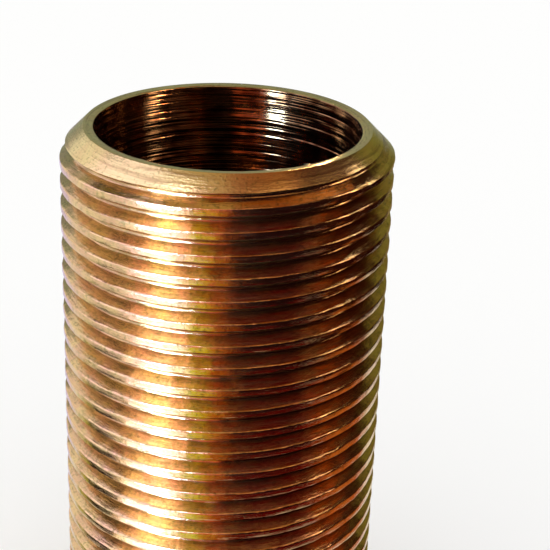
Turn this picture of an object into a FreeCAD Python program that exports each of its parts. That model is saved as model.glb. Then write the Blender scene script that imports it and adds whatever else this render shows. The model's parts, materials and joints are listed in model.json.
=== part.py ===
"""Threaded pipe nipple: a short brass tube with a parallel G 3/4 pipe thread from end to end.

The nipple is one piece, turned and bored from bar. It is modelled at the size that the lathe
leaves before the thread is cut: the outside is the cylinder of the thread's crests, and each
end is chamfered to below the thread's root, so that a fitting can start on it.

Millimetres. The axis is Z, and the lower end face lies on Z = 0.
"""

import FreeCAD, Part
import os
import Sketcher

NODE = "nipple"

# The driving sizes: alias, value and meaning.
SIZES = [
    ("nipple_length", 50.0, "from end face to end face"),
    ("thread_diameter", 26.441, "over the thread crests, G 3/4"),
    ("thread_pitch", 1.814, "14 threads to the inch"),
    ("depth_per_pitch", 0.640327, "a 55 degree Whitworth thread's depth over its pitch"),
    ("root_wall", 1.56, "the wall between the bore and the thread root"),
    ("bore_bevel", 0.15, "the deburred edge at each mouth of the bore"),
    ("end_land", 0.65, "the flat ring of each end face, which ends below the thread root"),
    ("chamfer_angle", 45.0, "degrees from the axis to the chamfer round each end"),
]

# Sizes that follow from the driving ones, as expressions for the sketch.
CREST_RADIUS = "Sizes.thread_diameter / 2"
ROOT_RADIUS = f"{CREST_RADIUS} - Sizes.thread_pitch * Sizes.depth_per_pitch"
BORE_RADIUS = f"{ROOT_RADIUS} - Sizes.root_wall"
NOSE_RADIUS = f"{BORE_RADIUS} + Sizes.bore_bevel + Sizes.end_land"
CHAMFER_HEIGHT = f"({CREST_RADIUS} - ({NOSE_RADIUS})) / tan(Sizes.chamfer_angle * 1 deg)"


def write_sheet(doc):
    """Puts the driving sizes in a spreadsheet, one to a row, each value under its alias."""
    sheet = doc.addObject("Spreadsheet::Sheet", "Sizes")
    for row, (alias, value, meaning) in enumerate(SIZES, start=1):
        sheet.set(f"A{row}", alias)
        sheet.set(f"B{row}", str(value))
        sheet.set(f"C{row}", meaning)
        sheet.setAlias(f"B{row}", alias)
    doc.recompute()


def origin_plane(body, role):
    """Returns one of the body's own origin planes, such as XZ_Plane."""
    return next(plane for plane in body.Origin.OriginFeatures if plane.Role == role)


def draw_wall(body):
    """Draws the section of the wall, with its sizes bound to the sheet.

        2---3        upper end face
       /     4       bevel inside, chamfer outside
      1      |
      |      |       bore wall, thread crests
      0      |
       \\     5
        7---6        lower end face
    """
    wall = body.newObject("Sketcher::SketchObject", "WallSection")
    wall.AttachmentSupport = [(origin_plane(body, "XZ_Plane"), "")]
    wall.MapMode = "FlatFace"

    bore, crest, nose, rise, top, bevel = (
        wall.evalExpression(size)
        for size in (
            BORE_RADIUS,
            CREST_RADIUS,
            NOSE_RADIUS,
            CHAMFER_HEIGHT,
            "Sizes.nipple_length",
            "Sizes.bore_bevel",
        )
    )
    corners = [
        FreeCAD.Vector(bore, bevel),
        FreeCAD.Vector(bore, top - bevel),
        FreeCAD.Vector(bore + bevel, top),
        FreeCAD.Vector(nose, top),
        FreeCAD.Vector(crest, top - rise),
        FreeCAD.Vector(crest, rise),
        FreeCAD.Vector(nose, 0),
        FreeCAD.Vector(bore + bevel, 0),
    ]
    edges = [Part.LineSegment(a, b) for a, b in zip(corners, corners[1:] + corners[:1])]
    wall.addGeometry(edges, False)
    bore_wall, upper_bevel, upper_face, upper_chamfer = range(4)
    crests, lower_chamfer, lower_face, lower_bevel = range(4, 8)
    start, end = 1, 2
    origin = (-1, 1)
    radial_axis = -1

    for edge in range(len(edges)):
        joined = (edge, end, (edge + 1) % len(edges), start)
        wall.addConstraint(Sketcher.Constraint("Coincident", *joined))
    for kind, *where in [
        ("Vertical", bore_wall),
        ("Vertical", crests),
        ("Horizontal", upper_face),
        ("PointOnObject", lower_face, start, radial_axis),
        ("PointOnObject", lower_face, end, radial_axis),
        ("Vertical", lower_face, start, upper_face, end),
        ("Vertical", lower_face, end, upper_face, start),
        ("Equal", lower_chamfer, upper_chamfer),
        ("Equal", lower_bevel, upper_bevel),
    ]:
        wall.addConstraint(Sketcher.Constraint(kind, *where))
    for name, kind, where, size in [
        ("BoreRadius", "DistanceX", (*origin, bore_wall, start), BORE_RADIUS),
        ("CrestRadius", "DistanceX", (*origin, crests, end), CREST_RADIUS),
        ("NoseRadius", "DistanceX", (*origin, lower_face, start), NOSE_RADIUS),
        ("ChamferHeight", "DistanceY", (lower_face, start, crests, end), CHAMFER_HEIGHT),
        ("Length", "DistanceY", (lower_face, start, upper_face, end), "Sizes.nipple_length"),
        ("BevelWidth", "DistanceX", (bore_wall, start, lower_face, end), "Sizes.bore_bevel"),
        ("BevelHeight", "DistanceY", (lower_face, end, bore_wall, start), "Sizes.bore_bevel"),
    ]:
        value = wall.evalExpression(size)
        index = wall.addConstraint(Sketcher.Constraint(kind, *where, value))
        wall.renameConstraint(index, name)
        wall.setExpression(f"Constraints.{name}", size)
    return wall


def turn_nipple(doc):
    """Turns the wall's section about the axis."""
    nipple = doc.addObject("PartDesign::Body", "Nipple")
    nipple.Label = NODE
    wall = draw_wall(nipple)
    turned = nipple.newObject("PartDesign::Revolution", "Turned")
    turned.Profile = wall
    turned.ReferenceAxis = (wall, ["V_Axis"])
    turned.Angle = 360
    doc.recompute()
    return nipple


def check(doc, part):
    """Stops if an object failed to compute or the part isn't one sound solid."""
    failed = [obj.Name for obj in doc.Objects if {"Invalid", "Error"} & set(obj.State)]
    if failed:
        raise RuntimeError(f"failed to compute: {', '.join(failed)}")
    if part.Shape.isNull() or not part.Shape.isValid() or len(part.Shape.Solids) != 1:
        raise RuntimeError(f"{part.Label} isn't one sound solid")


def main():
    doc = FreeCAD.newDocument("PipeNipple")
    write_sheet(doc)
    nipple = turn_nipple(doc)
    check(doc, nipple)
    os.makedirs("parts", exist_ok=True)
    nipple.Shape.exportStep(f"parts/{nipple.Label}.step")
    print(f"{nipple.Label}: {nipple.Shape.Volume:.1f} mm3")


main()
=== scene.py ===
"""Threaded pipe nipple: the finished look of a die-cut brass nipple on a plain pale stage.

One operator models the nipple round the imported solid, and one sets the stage. The sizes come
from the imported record, so they follow the solid. Lengths in Blender are metres.
"""

import json
import math

import bpy
from bpy.props import FloatProperty, FloatVectorProperty, IntProperty, PointerProperty
from mathutils import Matrix, Vector


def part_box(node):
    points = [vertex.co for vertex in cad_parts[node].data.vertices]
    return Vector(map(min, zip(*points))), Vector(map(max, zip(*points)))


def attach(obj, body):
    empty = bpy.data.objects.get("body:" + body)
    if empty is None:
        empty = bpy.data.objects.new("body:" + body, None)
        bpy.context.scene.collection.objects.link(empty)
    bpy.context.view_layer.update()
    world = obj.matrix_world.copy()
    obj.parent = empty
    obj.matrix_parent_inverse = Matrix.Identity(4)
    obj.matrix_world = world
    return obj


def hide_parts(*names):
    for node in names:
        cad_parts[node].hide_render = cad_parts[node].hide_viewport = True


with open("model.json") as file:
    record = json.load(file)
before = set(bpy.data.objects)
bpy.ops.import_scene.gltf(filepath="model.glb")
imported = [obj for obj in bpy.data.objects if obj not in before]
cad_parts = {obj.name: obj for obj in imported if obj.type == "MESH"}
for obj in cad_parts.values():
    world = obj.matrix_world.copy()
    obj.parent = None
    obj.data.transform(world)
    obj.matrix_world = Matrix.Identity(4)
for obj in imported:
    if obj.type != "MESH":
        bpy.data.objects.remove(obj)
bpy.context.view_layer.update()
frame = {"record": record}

bl_info = {
    "name": "Pipe Nipple",
    "version": (1, 0, 0),
    "blender": (4, 5, 0),
    "location": "3D View > Sidebar > Nipple",
    "description": "Models a threaded brass pipe nipple and its stage",
    "category": "Add Mesh",
}

MM = 0.001
NODE = "nipple"

# Places in the piece's list of materials, after the thread's die-cut brass at 0.
TURNED = 1
BORED = 2

# Sockets of a Mix node that mixes colours: its two colours and its result.
FIRST, SECOND, MIXED = 6, 7, 2

MOUNTS = {mount["name"]: mount["dims"] for mount in frame["record"]["mounts"] if mount["dims"]}
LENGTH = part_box(NODE)[1].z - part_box(NODE)[0].z
CREST_RADIUS = MOUNTS["outer_thread"]["r_mm"] * MM
BORE_RADIUS = MOUNTS["through_bore"]["r_mm"] * MM
CHAMFER = (LENGTH - MOUNTS["outer_thread"]["length_mm"] * MM) / 2
BEVEL = (LENGTH - MOUNTS["through_bore"]["length_mm"] * MM) / 2


def linear(code):
    """Turns an sRGB hex colour into linear red, green, blue and an alpha of 1."""
    parts = [int(code[i : i + 2], 16) / 255 for i in (1, 3, 5)]
    return (
        *(p / 12.92 if p <= 0.04045 else ((p + 0.055) / 1.055) ** 2.4 for p in parts),
        1.0,
    )


def length_size(name, description, default):
    """Returns a size that the sidebar shows as a length."""
    return FloatProperty(name=name, description=description, default=default, unit="LENGTH")


def colour(name, description, code):
    """Returns a colour that starts from an sRGB hex value."""
    return FloatVectorProperty(
        name=name, description=description, default=linear(code), size=4, subtype="COLOR"
    )


class NippleSizes(bpy.types.PropertyGroup):
    """Sizes of the nipple and of the wear on it"""

    length: length_size("Length", "From end face to end face", LENGTH)
    crest_radius: length_size("Crest radius", "Axis to thread crests", CREST_RADIUS)
    bore_radius: length_size("Bore radius", "Axis to bore wall", BORE_RADIUS)
    chamfer: length_size("Chamfer", "Height and depth of each end's chamfer", CHAMFER)
    bevel: length_size("Bevel", "Deburred edge at each mouth of the bore", BEVEL)
    pitch: length_size("Pitch", "From one crest to the next", 1.814 * MM)
    first_crest: length_size(
        "First crest", "Depth of a crest below the upper face, on the +X side", 1.85 * MM
    )
    flank: FloatProperty(
        name="Flank angle",
        description="From each flank to a plane across the axis",
        default=math.radians(27.5),
        subtype="ANGLE",
    )
    crest_flat: length_size("Crest flat", "Flat left at the crest, edges included", 0.56 * MM)
    over_edge: length_size("Upper crest edge", "Rounding of a crest's upper edge", 0.17 * MM)
    under_edge: length_size("Lower crest edge", "Rounding of a crest's lower edge", 0.06 * MM)
    root_rounding: length_size("Root rounding", "Radius of the root", 0.17 * MM)
    dents: length_size("Dents", "How far the die has torn the thread", 0.1 * MM)
    mouth_wear: length_size("Mouth wear", "How far the mouths of the bore are worn", 0.12 * MM)
    burr: length_size("Burr", "Radius of the crumb at the bore, before it is flattened", 0.3 * MM)
    facets: IntProperty(name="Facets", description="Steps round one turn", default=168)


class NippleFinish(bpy.types.PropertyGroup):
    """Colours of the brass and of what has dried or tarnished on it, with the bore's two colours
    also darkened as painted shade
    """

    bright: colour("Bright brass", "Skin of the bar on the crests", "#E2C088")
    rosy: colour("Rosy brass", "Where the skin has lost some zinc", "#DEB28A")
    fresh: colour("Fresh brass", "Freshly turned faces", "#E4CB8C")
    olive: colour("Olive tarnish", "Specks on the skin", "#8E8350")
    tarnish: colour("Brown tarnish", "Thread roots", "#8A6340")
    # The bore's two colours, dark blots and oiled brass, are real oil and tarnish, and are also
    # made darker than the brass outside as painted shade inside the bore.
    sooty_and_shaded: colour("Dark tarnish and painted shade", "Blots on the bore wall", "#5A3822")
    oiled_and_shaded: colour("Oiled brass and painted shade", "Bore wall", "#967250")


def select_only(piece):
    """Leaves one piece selected and active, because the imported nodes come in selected."""
    bpy.ops.object.select_all(action="DESELECT")
    piece.select_set(True)
    bpy.context.view_layer.objects.active = piece


def outline(name, points):
    """Adds a chain of vertices through (radius, height) points in the XZ plane."""
    bpy.ops.object.select_all(action="DESELECT")
    bpy.ops.mesh.primitive_plane_add(size=MM)
    piece = bpy.context.object
    piece.name = piece.data.name = name
    bpy.ops.object.mode_set(mode="EDIT")
    bpy.ops.mesh.select_mode(type="VERT")
    bpy.ops.mesh.merge(type="CENTER")
    bpy.ops.transform.translate(value=(points[0][0], 0, points[0][1]))
    for (r0, z0), (r1, z1) in zip(points, points[1:]):
        bpy.ops.mesh.extrude_region_move(
            TRANSFORM_OT_translate={"value": (r1 - r0, 0, z1 - z0)}
        )
    bpy.ops.object.mode_set(mode="OBJECT")
    return piece


def arc(centre, radius, first, last, steps):
    """Returns points (radius, height) on an arc between two angles, from +X towards +Z."""
    angles = (first + (last - first) * step / steps for step in range(steps + 1))
    return [(centre[0] + radius * math.cos(a), centre[1] + radius * math.sin(a)) for a in angles]


def half_turn(sizes, rounding):
    """Returns the outline from a root up to the middle of a crest, as (radius, height)."""
    slope = math.tan(sizes.flank)
    opening = math.pi / 2 - sizes.flank
    sharp_crest = sizes.crest_radius + sizes.crest_flat / 2 / slope
    sharp_root = sharp_crest - sizes.pitch / 2 / slope
    root = (sharp_root + sizes.root_rounding / math.sin(sizes.flank), 0.0)
    inset = sizes.crest_radius - rounding
    edge = sizes.pitch / 2 - (sharp_crest - inset) * slope + rounding / math.cos(sizes.flank)
    hollow = [(r, -z) for r, z in arc(root, sizes.root_rounding, math.pi, math.pi + opening, 2)]
    crest = arc((inset, edge), rounding, -opening, 0.0, 2)
    # Two more points hold the flank flat between its rounded ends.
    flank = [
        tuple(a + (b - a) * share for a, b in zip(hollow[-1], crest[0])) for share in (0.1, 0.9)
    ]
    return hollow + flank + crest


def one_turn(sizes):
    """Returns one pitch of the thread's outline, from root to root, as (radius, height)."""
    under = half_turn(sizes, sizes.under_edge)
    over = half_turn(sizes, sizes.over_edge)
    return under + [(r, sizes.pitch - z) for r, z in reversed(over)]


def wear(piece, depth, size, group=""):
    """Sinks a piece's surface unevenly, by up to a depth, in dents of about a size."""
    dents = bpy.data.textures.new("wear", "CLOUDS")
    dents.noise_scale = size
    dents.noise_depth = 2
    worn = piece.modifiers.new("Wear", "DISPLACE")
    worn.texture = dents
    worn.texture_coords = "LOCAL"
    worn.strength = depth
    worn.mid_level = 1.0
    worn.vertex_group = group
    bpy.ops.object.modifier_apply(modifier=worn.name)


def revolve(piece, sizes, turns=1, rise=0.0):
    """Sweeps an outline round Z, as a closed ring or, with a rise, as a screw."""
    select_only(piece)
    sweep = piece.modifiers.new("Sweep", "SCREW")
    sweep.axis = "Z"
    sweep.angle = 2 * math.pi
    sweep.screw_offset = rise
    sweep.iterations = turns
    sweep.steps = sweep.render_steps = sizes.facets
    sweep.use_merge_vertices = True
    sweep.merge_threshold = 0.0002 * MM
    bpy.ops.object.modifier_apply(modifier=sweep.name)


def cut_thread(sizes):
    """Makes a threaded rod, longer than the nipple at both ends, capped to a closed solid."""
    spare_turns = 3
    turns = math.ceil(sizes.length / sizes.pitch) + spare_turns
    rod = outline("thread", one_turn(sizes))
    revolve(rod, sizes, turns, sizes.pitch)
    bpy.ops.object.mode_set(mode="EDIT")
    bpy.ops.mesh.select_all(action="SELECT")
    bpy.ops.mesh.remove_doubles(threshold=0.0005 * MM)
    bpy.ops.mesh.select_mode(type="EDGE")
    bpy.ops.mesh.select_all(action="DESELECT")
    # The open edges are the rod's two ends, and a face closes each.
    bpy.ops.mesh.select_non_manifold(
        extend=False, use_wire=False, use_boundary=True, use_multi_face=False,
        use_non_contiguous=False, use_verts=False,
    )
    bpy.ops.mesh.edge_face_add()
    bpy.ops.mesh.select_all(action="SELECT")
    bpy.ops.mesh.normals_make_consistent(inside=False)
    bpy.ops.object.mode_set(mode="OBJECT")
    wear(rod, sizes.dents, 1.0 * MM)
    return rod


def turn_blank(sizes):
    """Turns the closed tube with its bore, end faces and chamfers that the thread runs out on."""
    spare = 0.5 * MM
    nose = sizes.crest_radius - sizes.chamfer
    mouth = sizes.bore_radius + sizes.bevel
    outside = sizes.crest_radius + spare
    top = sizes.length
    blank = outline(
        "blank",
        [
            (sizes.bore_radius, sizes.bevel),
            (sizes.bore_radius, top - sizes.bevel),
            (mouth, top),
            (nose, top),
            (outside, top - sizes.chamfer - spare),
            (outside, sizes.chamfer + spare),
            (nose, 0),
            (mouth, 0),
            (sizes.bore_radius, sizes.bevel),
        ],
    )
    revolve(blank, sizes)
    bpy.ops.object.mode_set(mode="EDIT")
    bpy.ops.mesh.select_all(action="SELECT")
    bpy.ops.mesh.remove_doubles(threshold=0.001 * MM)
    bpy.ops.mesh.normals_make_consistent(inside=False)
    bpy.ops.object.mode_set(mode="OBJECT")
    edge = blank.modifiers.new("Edge", "BEVEL")
    edge.width = 0.05 * MM
    edge.segments = 2
    edge.limit_method = "ANGLE"
    edge.angle_limit = math.radians(30)
    bpy.ops.object.modifier_apply(modifier=edge.name)
    rims = blank.vertex_groups.new(name="rims")
    rim = [v.index for v in blank.data.vertices if abs(v.co.xy.length - mouth) < 0.1 * MM]
    rims.add(rim, 1.0, "REPLACE")
    wear(blank, sizes.mouth_wear, 0.5 * MM, rims.name)
    leave_burr(blank, sizes)
    return blank


def leave_burr(blank, sizes):
    """Leaves a crumb of torn metal on the mouth of the bore, just under the end face."""
    reach = sizes.bore_radius + 0.05 * MM
    height = sizes.length - 0.19 * MM
    bearing = math.radians(-56)
    bpy.ops.mesh.primitive_ico_sphere_add(subdivisions=3, radius=sizes.burr)
    burr = bpy.context.object
    bpy.ops.transform.resize(value=(1.3, 1.5, 0.62))
    bpy.ops.transform.rotate(
        value=-bearing - math.pi / 2, orient_axis="Z", center_override=(0, 0, 0)
    )
    bpy.ops.transform.translate(
        value=(reach * math.cos(bearing), reach * math.sin(bearing), height)
    )
    bpy.ops.object.transform_apply(location=True, rotation=True, scale=True)
    wear(burr, 0.1 * MM, 0.2 * MM)
    select_only(blank)
    join = blank.modifiers.new("Burr", "BOOLEAN")
    join.operation = "UNION"
    join.solver = "EXACT"
    join.object = burr
    bpy.ops.object.modifier_apply(modifier=join.name)
    select_only(burr)
    bpy.ops.object.delete()


def join_thread(rod, blank, sizes):
    """Keeps the thread where the blank has metal, so that it runs out on the chamfers."""
    select_only(rod)
    # A root lies half a pitch below the first crest. The rod starts below the lower face.
    start = (sizes.length - sizes.first_crest - sizes.pitch / 2) % sizes.pitch
    bpy.ops.transform.translate(value=(0, 0, start - 2 * sizes.pitch))
    bpy.ops.object.transform_apply(location=True, rotation=False, scale=False)
    cut = rod.modifiers.new("Ends", "BOOLEAN")
    cut.operation = "INTERSECT"
    cut.solver = "EXACT"
    cut.material_mode = "INDEX"
    cut.object = blank
    bpy.ops.object.modifier_apply(modifier=cut.name)
    select_only(blank)
    bpy.ops.object.delete()
    select_only(rod)
    bpy.ops.object.mode_set(mode="EDIT")
    bpy.ops.mesh.select_all(action="SELECT")
    bpy.ops.mesh.remove_doubles(threshold=0.002 * MM)
    bpy.ops.object.mode_set(mode="OBJECT")


def node(tree, kind, inputs=(), **settings):
    """Adds a shader node, with its settings, and its inputs set or linked."""
    made = tree.nodes.new(kind)
    for name, value in settings.items():
        setattr(made, name, value)
    for key, value in dict(inputs).items():
        if isinstance(value, bpy.types.NodeSocket):
            tree.links.new(value, made.inputs[key])
        else:
            made.inputs[key].default_value = value
    return made


def new_material(name):
    """Returns an empty node material, its tree and its shader."""
    material = bpy.data.materials.new(name)
    material.use_nodes = True
    tree = material.node_tree
    tree.nodes.clear()
    shader = node(tree, "ShaderNodeBsdfPrincipled", {"Metallic": 1.0})
    node(tree, "ShaderNodeOutputMaterial", {"Surface": shader.outputs["BSDF"]})
    return material, tree, shader


def millimetres(tree):
    """Adds the object's own coordinates, in mm."""
    place = node(tree, "ShaderNodeTexCoord").outputs["Object"]
    mm = node(tree, "ShaderNodeVectorMath", {0: place, "Scale": 1 / MM}, operation="SCALE")
    return mm.outputs[0]


def round_axis(tree, mm):
    """Splits coordinates into X, Y and Z, and adds the distance from the nipple's axis."""
    flat = node(tree, "ShaderNodeVectorMath", {0: mm, 1: (1, 1, 0)}, operation="MULTIPLY")
    radius = node(tree, "ShaderNodeVectorMath", {0: flat.outputs[0]}, operation="LENGTH")
    axes = node(tree, "ShaderNodeSeparateXYZ", {0: mm})
    return axes.outputs, radius.outputs["Value"]


def along_thread(tree, sizes, axes):
    """Adds coordinates that follow the thread, to stretch a pattern along it.

    Z counts the place across the thread, from 0 at one root to 1 at the next, and drifts a little
    up the nipple so that no two turns are alike.
    """
    bearing = node(tree, "ShaderNodeMath", {0: axes["Y"], 1: axes["X"]}, operation="ARCTAN2")
    phase = 0.5 - (sizes.length - sizes.first_crest) / sizes.pitch
    back = node(
        tree, "ShaderNodeMath", {0: bearing.outputs[0], 1: -0.5 / math.pi, 2: phase},
        operation="MULTIPLY_ADD",
    )
    rise = node(
        tree, "ShaderNodeMath", {0: axes["Z"], 1: MM / sizes.pitch, 2: back.outputs[0]},
        operation="MULTIPLY_ADD",
    )
    across = node(tree, "ShaderNodeMath", {0: rise.outputs[0]}, operation="FRACT")
    level = node(
        tree, "ShaderNodeMath", {0: axes["Z"], 1: 0.2, 2: across.outputs[0]},
        operation="MULTIPLY_ADD",
    )
    along = node(
        tree, "ShaderNodeCombineXYZ", {"X": axes["X"], "Y": axes["Y"], "Z": level.outputs[0]}
    )
    return along.outputs[0]


def die_cut_brass(sizes, finish):
    """Free-cutting brass bar, threaded with a hand die.

    The crests keep the bright skin of the bar. The flanks are torn along the thread, in streaks
    a fraction of a millimetre wide, and hold cutting oil and tarnish towards the root.
    """
    material, tree, shader = new_material("die_cut_brass")
    mm = millimetres(tree)
    axes, radius = round_axis(tree, mm)
    # Streaks 0.15 mm wide and about 2 mm long lie along the thread, 12 of them to a pitch.
    drawn = node(
        tree, "ShaderNodeVectorMath", {0: along_thread(tree, sizes, axes), 1: (0.45, 0.45, 12.0)},
        operation="MULTIPLY",
    )
    streaks = node(
        tree, "ShaderNodeTexNoise",
        {"Vector": drawn.outputs[0], "Scale": 1.0, "Detail": 4.0, "Roughness": 0.65},
    )
    # Patches of tint about 2 mm wide, and specks about 0.3 mm wide.
    patches = node(
        tree, "ShaderNodeTexNoise", {"Vector": mm, "Scale": 0.5, "Detail": 3.0, "Distortion": 0.6}
    )
    specks = node(
        tree, "ShaderNodeTexNoise", {"Vector": mm, "Scale": 3.2, "Detail": 3.0, "Roughness": 0.6}
    )
    rosy = node(
        tree, "ShaderNodeMapRange",
        {"Value": patches.outputs["Fac"], "From Min": 0.38, "From Max": 0.62},
    )
    tint = node(
        tree, "ShaderNodeMix",
        {0: rosy.outputs[0], FIRST: finish.bright, SECOND: finish.rosy}, data_type="RGBA",
    )
    # Tarnish starts 0.3 mm below the crests and is at its darkest in the roots.
    crest = sizes.crest_radius / MM
    depth = node(
        tree, "ShaderNodeMapRange",
        {"Value": radius, "From Min": crest - 0.3, "From Max": crest - 0.95, "To Max": 0.5},
    )
    worn = node(
        tree, "ShaderNodeMapRange",
        {"Value": streaks.outputs["Fac"], "From Min": 0.35, "From Max": 0.65, "To Min": 0.1,
         "To Max": 1.6},
    )
    stain = node(
        tree, "ShaderNodeMath", {0: depth.outputs[0], 1: worn.outputs[0]}, operation="MULTIPLY",
        use_clamp=True,
    )
    stained = node(
        tree, "ShaderNodeMix",
        {0: stain.outputs[0], FIRST: tint.outputs[MIXED], SECOND: finish.tarnish}, data_type="RGBA",
    )
    mossy = node(
        tree, "ShaderNodeMath", {0: streaks.outputs["Fac"], 1: 0.6, 2: specks.outputs["Fac"]},
        operation="MULTIPLY_ADD",
    )
    speck = node(
        tree, "ShaderNodeMapRange",
        {"Value": mossy.outputs[0], "From Min": 0.8, "From Max": 1.0, "To Max": 0.6},
    )
    skin = node(
        tree, "ShaderNodeMix",
        {0: speck.outputs[0], FIRST: stained.outputs[MIXED], SECOND: finish.olive},
        data_type="RGBA",
    )
    tree.links.new(skin.outputs[MIXED], shader.inputs["Base Color"])
    matt = node(
        tree, "ShaderNodeMapRange",
        {"Value": streaks.outputs["Fac"], "From Min": 0.3, "From Max": 0.7, "To Min": 0.1,
         "To Max": 0.26},
    )
    tree.links.new(matt.outputs[0], shader.inputs["Roughness"])
    rough = node(
        tree, "ShaderNodeMath", {0: specks.outputs["Fac"], 1: 0.5, 2: streaks.outputs["Fac"]},
        operation="MULTIPLY_ADD",
    )
    torn = node(
        tree, "ShaderNodeBump",
        {"Height": rough.outputs[0], "Strength": 0.4, "Distance": 0.05 * MM},
    )
    tree.links.new(torn.outputs[0], shader.inputs["Normal"])
    return material


def turned_brass(finish):
    """Brass faced and chamfered on a lathe, which leaves fine rings and a bright cut."""
    material, tree, shader = new_material("turned_brass")
    mm = millimetres(tree)
    axes, radius = round_axis(tree, mm)
    # The feed is about 0.1 mm a turn, drawn as uneven rings of about 0.3 mm so that it shows.
    ring = node(tree, "ShaderNodeCombineXYZ", {"X": axes["X"], "Y": axes["Y"], "Z": radius})
    cut = node(
        tree, "ShaderNodeVectorMath", {0: ring.outputs[0], 1: (0.15, 0.15, 3.2)},
        operation="MULTIPLY",
    )
    groove = node(
        tree, "ShaderNodeTexNoise",
        {"Vector": cut.outputs[0], "Scale": 1.0, "Detail": 3.0, "Roughness": 0.6},
    )
    # Patches of tint about 2 mm wide, and specks about 0.25 mm wide.
    patches = node(
        tree, "ShaderNodeTexNoise", {"Vector": mm, "Scale": 0.45, "Detail": 3.0, "Distortion": 0.5}
    )
    specks = node(
        tree, "ShaderNodeTexNoise", {"Vector": mm, "Scale": 4.0, "Detail": 2.0, "Roughness": 0.6}
    )
    tint = node(
        tree, "ShaderNodeMapRange",
        {"Value": patches.outputs["Fac"], "From Min": 0.38, "From Max": 0.62},
    )
    fresh = node(
        tree, "ShaderNodeMix",
        {0: tint.outputs[0], FIRST: finish.fresh, SECOND: finish.bright}, data_type="RGBA",
    )
    # Oil has dried brown in some of the rings.
    dry = node(
        tree, "ShaderNodeMapRange",
        {"Value": groove.outputs["Fac"], "From Min": 0.52, "From Max": 0.68, "To Max": 0.5},
    )
    browned = node(
        tree, "ShaderNodeMix",
        {0: dry.outputs[0], FIRST: fresh.outputs[MIXED], SECOND: finish.tarnish}, data_type="RGBA",
    )
    speck = node(
        tree, "ShaderNodeMapRange",
        {"Value": specks.outputs["Fac"], "From Min": 0.55, "From Max": 0.72, "To Max": 0.6},
    )
    skin = node(
        tree, "ShaderNodeMix",
        {0: speck.outputs[0], FIRST: browned.outputs[MIXED], SECOND: finish.olive},
        data_type="RGBA",
    )
    tree.links.new(skin.outputs[MIXED], shader.inputs["Base Color"])
    shader.inputs["Roughness"].default_value = 0.24
    height = node(
        tree, "ShaderNodeMath", {0: groove.outputs["Fac"], 1: 2.0, 2: specks.outputs["Fac"]},
        operation="MULTIPLY_ADD",
    )
    rings = node(
        tree, "ShaderNodeBump",
        {"Height": height.outputs[0], "Strength": 0.4, "Distance": 0.03 * MM},
    )
    tree.links.new(rings.outputs[0], shader.inputs["Normal"])
    return material


def bored_brass(finish):
    """Brass bored by a single-point tool, whose rings glint: a wall browned with oil and painted
    darker as shade inside the bore.
    """
    material, tree, shader = new_material("bored_brass")
    mm = millimetres(tree)
    # Tool marks about 0.15 mm apart, drawn at 0.4 mm and uneven so that they show.
    drawn = node(
        tree, "ShaderNodeVectorMath", {0: mm, 1: (0.06, 0.06, 2.6)}, operation="MULTIPLY"
    )
    marks = node(
        tree, "ShaderNodeTexNoise",
        {"Vector": drawn.outputs[0], "Scale": 1.0, "Detail": 2.0, "Roughness": 0.6},
    )
    # Blots of dried oil about 1.5 mm wide.
    blots = node(
        tree, "ShaderNodeTexNoise", {"Vector": mm, "Scale": 0.7, "Detail": 4.0, "Distortion": 0.4}
    )
    sooty_and_shaded = node(
        tree, "ShaderNodeMapRange",
        {"Value": blots.outputs["Fac"], "From Min": 0.4, "From Max": 0.62},
    )
    # The wall mixes oiled brass with sooty blots. Both are real oil and tarnish, and both are
    # painted darker than the brass outside as shade inside the bore.
    skin = node(
        tree, "ShaderNodeMix",
        {0: sooty_and_shaded.outputs[0], FIRST: finish.oiled_and_shaded, SECOND: finish.sooty_and_shaded}, data_type="RGBA",
    )
    tree.links.new(skin.outputs[MIXED], shader.inputs["Base Color"])
    shader.inputs["Roughness"].default_value = 0.12
    rings = node(
        tree, "ShaderNodeBump",
        {"Height": marks.outputs["Fac"], "Strength": 1.0, "Distance": 0.14 * MM},
    )
    tree.links.new(rings.outputs[0], shader.inputs["Normal"])
    return material


def pale_floor():
    """Matt pale board without gloss, so that no card shows in it."""
    material, _, shader = new_material("pale_floor")
    shader.inputs["Metallic"].default_value = 0.0
    shader.inputs["Base Color"].default_value = linear("#FEFEFD")
    shader.inputs["Roughness"].default_value = 0.9
    shader.inputs["Specular IOR Level"].default_value = 0.0
    return material


class NIPPLE_OT_body(bpy.types.Operator):
    """Models the nipple: a turned and bored tube with the thread cut from end to end"""

    bl_idname = "nipple.body"
    bl_label = "Nipple"

    def execute(self, context):
        sizes = context.scene.nipple_sizes
        finish = context.scene.nipple_finish
        rod = cut_thread(sizes)
        blank = turn_blank(sizes)
        finishes = (die_cut_brass(sizes, finish), turned_brass(finish), bored_brass(finish))
        for piece in (rod, blank):
            for material in finishes:
                piece.data.materials.append(material)
        bore_edge = sizes.bore_radius + 0.03 * MM
        for face in blank.data.polygons:
            inside = face.center.xy.length < bore_edge
            face.material_index = BORED if inside else TURNED
        join_thread(rod, blank, sizes)
        # Smooth round the thread, and crisp where a flank meets a chamfer.
        bpy.ops.object.shade_smooth_by_angle(angle=math.radians(33))
        rod.name = rod.data.name = "threaded_tube"
        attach(rod, "root")
        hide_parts(NODE)
        return {"FINISHED"}


def glow(name, shade):
    """Returns a plain glowing material, for a card that shows only in the metal."""
    material = bpy.data.materials.new(name)
    material.use_nodes = True
    tree = material.node_tree
    tree.nodes.clear()
    light = node(tree, "ShaderNodeEmission", {"Color": (*shade, 1.0)})
    node(tree, "ShaderNodeOutputMaterial", {"Surface": light.outputs["Emission"]})
    return material


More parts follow.
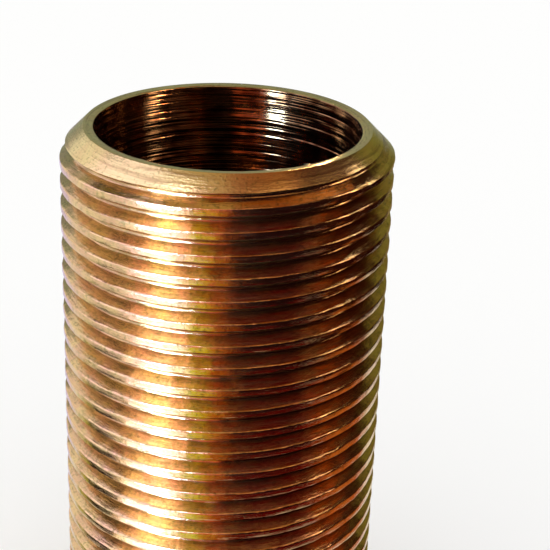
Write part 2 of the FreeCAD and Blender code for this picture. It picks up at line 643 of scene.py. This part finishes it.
def stand_card(name, first, last, points, shade):
    """Sweeps (radius, height) points, in mm, into a card that is seen only in the metal.

    It runs between two bearings in degrees, counted from the camera's side towards +X.
    """
    card = outline(name, [(radius * MM, height * MM) for radius, height in points])
    select_only(card)
    degrees_a_step = 5
    sweep = card.modifiers.new("Sweep", "SCREW")
    sweep.angle = math.radians(last - first)
    sweep.steps = sweep.render_steps = max(2, round((last - first) / degrees_a_step))
    bpy.ops.object.modifier_apply(modifier=sweep.name)
    card.data.transform(Matrix.Rotation(math.radians(first - 90), 4, "Z"))
    card.data.materials.append(glow(name, shade))
    card.visible_camera = card.visible_diffuse = card.visible_shadow = False
    card.visible_transmission = False


# Cards stand round the nipple and show only in the metal. Each has a name, its first and last
# bearing in degrees and its glow in linear red, green and blue. The sheets lie on the floor between
# two distances in mm: the near ones show in the grooves, and the far ones on the crests. The walls
# stand at a distance, between two heights, and show in the bore and on the chamfers. The roofs
# close the room above.
ROOM = 250
CEILING = 520
SHEET_LIFT = 0.4
SHEETS = [
    ("lilac_sheet", -180, -130, 32, ROOM, (0.84, 0.8, 1.15)),
    ("moss_sheet", -112, -98, 32, 78, (0.5, 0.52, 0.14)),
    ("dark_sheet", -98, -71, 32, 83, (0.02, 0.007, 0.004)),
    ("dusky_sheet", -71, -64, 32, 78, (1.1, 0.9, 0.75)),
    ("near_white_sheet", -64, -50, 32, 66, (3.6, 3.8, 4.8)),
    ("far_white_sheet", -64, -50, 66, ROOM, (1.9, 1.6, 2.0)),
    ("near_key_sheet", -50, -36, 32, 62, (5.2, 6.8, 8.2)),
    ("far_key_sheet", -50, -36, 62, ROOM, (2.4, 3.0, 3.8)),
    ("pink_sheet", -36, -28, 32, ROOM, (2.9, 2.3, 3.5)),
    ("gold_sheet", -28, -13, 32, ROOM, (0.74, 0.92, 0.01)),
    ("amber_sheet", -13, 2, 32, ROOM, (0.46, 0.11, 0.003)),
    ("maroon_sheet", 2, 54, 32, 72, (0.12, 0.004, 0.001)),
    ("rust_sheet", 54, 68, 32, 80, (0.16, 0.012, 0.003)),
    ("ember_sheet", 68, 112, 32, 86, (0.5, 0.15, 0.035)),
    ("soot_sheet", 2, 54, 72, ROOM, (0.014, 0.002, 0.002)),
    ("black_sheet", 54, 138, 86, ROOM, (0.014, 0.002, 0.002)),
    ("olive_sheet", 138, 165, 32, ROOM, (0.3, 0.24, 0.1)),
]
WALLS = [
    ("key_wall", -51, -37, ROOM, 40, 220, (32.0, 56.0, 90.0)),
    ("high_key_wall", -55, -33, ROOM, 220, CEILING, (8.0, 8.0, 10.0)),
    ("umber_wall", -33, -5, ROOM, 0, CEILING, (0.8, 0.18, 0.06)),
    ("black_wall", -5, 67, ROOM, 0, CEILING, (0.015, 0.003, 0.002)),
    ("glow_wall", -5, 72, ROOM - 1, 350, 480, (1.3, 0.7, 0.35)),
    ("slit_wall", 74, 82, 40, 53, 76, (6.0, 4.0, 2.6)),
    ("lamp_wall", 101, 106, 8, 52, 63, (80.0, 54.0, 36.0)),
    ("spot_wall", 81, 85, 20, 53, 57, (7.0, 6.0, 5.0)),
    ("brown_wall", 67, 124, ROOM, 0, CEILING, (0.05, 0.016, 0.007)),
    ("olive_wall", 124, 155, ROOM, 0, 185, (0.19, 0.19, 0.05)),
    ("soot_wall", 124, 155, ROOM, 185, 330, (0.02, 0.006, 0.003)),
    ("ember_wall", 126, 155, ROOM, 330, CEILING, (0.6, 0.22, 0.04)),
    ("sky_wall", -119, -55, ROOM, 100, CEILING, (1.5, 1.4, 1.9)),
    ("dark_wall", -137, -119, ROOM, 240, 450, (0.03, 0.012, 0.006)),
    ("moss_wall", -155, -137, ROOM, 190, CEILING, (0.26, 0.22, 0.05)),
    ("back_wall", 155, 215, ROOM, 0, CEILING, (0.28, 0.33, 0.26)),
]
ROOFS = [("left_roof", -180, 0, (0.45, 0.3, 0.1)), ("right_roof", 0, 180, (0.26, 0.08, 0.01))]


class NIPPLE_OT_stage(bpy.types.Operator):
    """Sets the floor, the soft light and the camera"""

    bl_idname = "nipple.stage"
    bl_label = "Stage"

    def execute(self, context):
        scene = context.scene
        bpy.ops.object.select_all(action="DESELECT")
        # A floor 4 m across is pale as far as the camera sees.
        bpy.ops.mesh.primitive_circle_add(vertices=96, radius=2.0, fill_type="NGON")
        floor = context.object
        floor.name = "floor"
        floor.data.materials.append(pale_floor())

        world = bpy.data.worlds.new("studio")
        world.use_nodes = True
        sky = world.node_tree.nodes["Background"]
        sky.inputs["Color"].default_value = (1, 1, 1, 1)
        sky.inputs["Strength"].default_value = 1.0
        scene.world = world

        for name, first, last, near, far, shade in SHEETS:
            stand_card(name, first, last, [(near, SHEET_LIFT), (far, SHEET_LIFT)], shade)
        for name, first, last, away, low, high, shade in WALLS:
            stand_card(name, first, last, [(away, low), (away, high)], shade)
        for name, first, last, shade in ROOFS:
            stand_card(name, first, last, [(0.1, CEILING), (ROOM, CEILING)], shade)

        place_camera(scene)
        scene.view_settings.view_transform = "Standard"
        return {"FINISHED"}


def place_camera(scene):
    """Looks down at the upper end from close in front, a little turned and tilted."""
    rim = Vector((0, 0, scene.nipple_sizes.length))
    bpy.ops.object.camera_add(location=rim + Vector((0, -109.2, 35.5)) * MM)
    camera = bpy.context.object
    camera.name = "camera"
    yaw, pitch, roll = (math.radians(a) for a in (-2.14, 23.86, -2.10))
    turn = (
        Matrix.Rotation(yaw, 3, "Z")
        @ Matrix.Rotation(math.pi / 2 - pitch, 3, "X")
        @ Matrix.Rotation(-roll, 3, "Z")
    )
    camera.rotation_euler = turn.to_euler()
    camera.data.lens = 95.5
    camera.data.sensor_width = 36
    camera.data.clip_start = 0.005
    scene.camera = camera


class NIPPLE_PT_panel(bpy.types.Panel):
    """Lists the nipple's sizes, its colours and the operators"""

    bl_idname = "NIPPLE_PT_panel"
    bl_label = "Pipe Nipple"
    bl_space_type = "VIEW_3D"
    bl_region_type = "UI"
    bl_category = "Nipple"

    def draw(self, context):
        for group in (context.scene.nipple_sizes, context.scene.nipple_finish):
            for name in group.__annotations__:
                self.layout.prop(group, name)
        for operator in (NIPPLE_OT_body, NIPPLE_OT_stage):
            self.layout.operator(operator.bl_idname)


CLASSES = (NippleSizes, NippleFinish, NIPPLE_OT_body, NIPPLE_OT_stage, NIPPLE_PT_panel)


def register():
    for cls in CLASSES:
        bpy.utils.register_class(cls)
    bpy.types.Scene.nipple_sizes = PointerProperty(type=NippleSizes)
    bpy.types.Scene.nipple_finish = PointerProperty(type=NippleFinish)


def unregister():
    del bpy.types.Scene.nipple_finish
    del bpy.types.Scene.nipple_sizes
    for cls in reversed(CLASSES):
        bpy.utils.unregister_class(cls)


def main():
    """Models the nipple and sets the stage."""
    register()
    bpy.ops.nipple.body()
    bpy.ops.nipple.stage()


if __name__ == "__main__":
    main()
